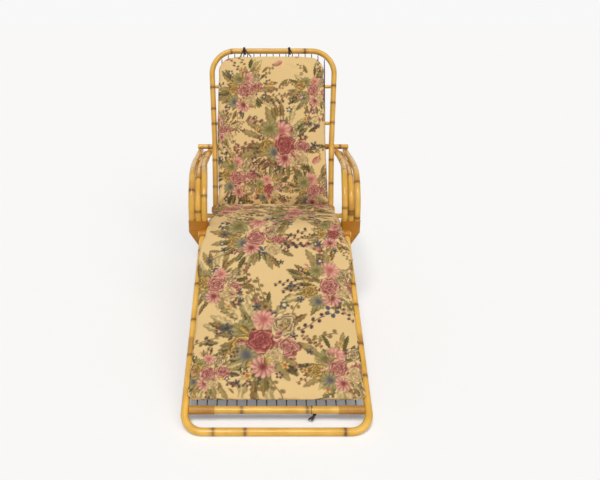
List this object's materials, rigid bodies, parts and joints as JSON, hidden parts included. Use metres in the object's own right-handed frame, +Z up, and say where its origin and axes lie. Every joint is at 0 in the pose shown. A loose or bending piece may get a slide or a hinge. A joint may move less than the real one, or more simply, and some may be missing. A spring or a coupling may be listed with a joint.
{
  "type": "folding chaise longue",
  "caption": "Folding rattan lounge chair with a reclining slatted back, looped pole arms, a hinged leg rest that slopes to the floor and a padded floral cover.",
  "frame": {"origin": "centre of the bounding box on the floor, with the back reclined on the arms and the leg rest's foot on the floor", "axes": "+Z up, +Y towards the back, -Y towards the foot of the leg rest, +X to the right in the picture"},
  "size_m": [0.7034, 1.5078, 0.9985],
  "materials": {
    "rattan": "glossy varnished golden rattan pole",
    "cane": "satin orange-brown split cane binding",
    "spindle": "matte dark brown thin cane",
    "cloth": "matte cream cotton with a printed floral",
    "tie": "matte dark tape"
  },
  "bodies": {
    "base": {"arm_pole_inner_left": "rattan", "arm_pole_inner_right": "rattan", "arm_pole_middle_left": "rattan", "arm_pole_middle_right": "rattan", "arm_pole_outer_left": "rattan", "arm_pole_outer_right": "rattan", "rear_leg_left": "rattan", "rear_leg_right": "rattan", "front_lashing_left": "cane", "front_lashing_right": "cane", "rear_lashing_left": "cane", "rear_lashing_right": "cane", "knee_hinge_bar": "rattan", "back_hinge_bar": "rattan", "seat_rail_left": "rattan", "seat_rail_right": "rattan", "seat_lattice": "spindle", "seat_pad": "cloth", "front_stretcher": "rattan", "rear_stretcher": "rattan"},
    "backrest": {"back_frame": "rattan", "back_lattice": "spindle", "recline_rod": "rattan", "rod_lashing_left": "cane", "rod_lashing_right": "cane", "back_hinge_eye_left": "cane", "back_hinge_eye_right": "cane", "back_pad": "cloth", "top_tie_left": "tie", "top_tie_right": "tie"},
    "leg_rest": {"leg_frame": "rattan", "leg_crossbar": "rattan", "crossbar_lashing_left": "cane", "crossbar_lashing_right": "cane", "leg_lattice": "spindle", "leg_hinge_eye_left": "cane", "leg_hinge_eye_right": "cane", "leg_pad": "cloth", "foot_tie": "tie"}
  },
  "joints": [
    {"name": "back_hinge", "type": "hinge", "parent": "base", "child": "backrest", "pos_m": [0, 0.42937, 0.316], "axis": [1, 0, 0], "range_deg": [0, 40]},
    {"name": "knee_hinge", "type": "hinge", "parent": "base", "child": "leg_rest", "pos_m": [0, -0.04059, 0.385], "axis": [1, 0, 0], "range_deg": [-95, 0]}
  ]
}
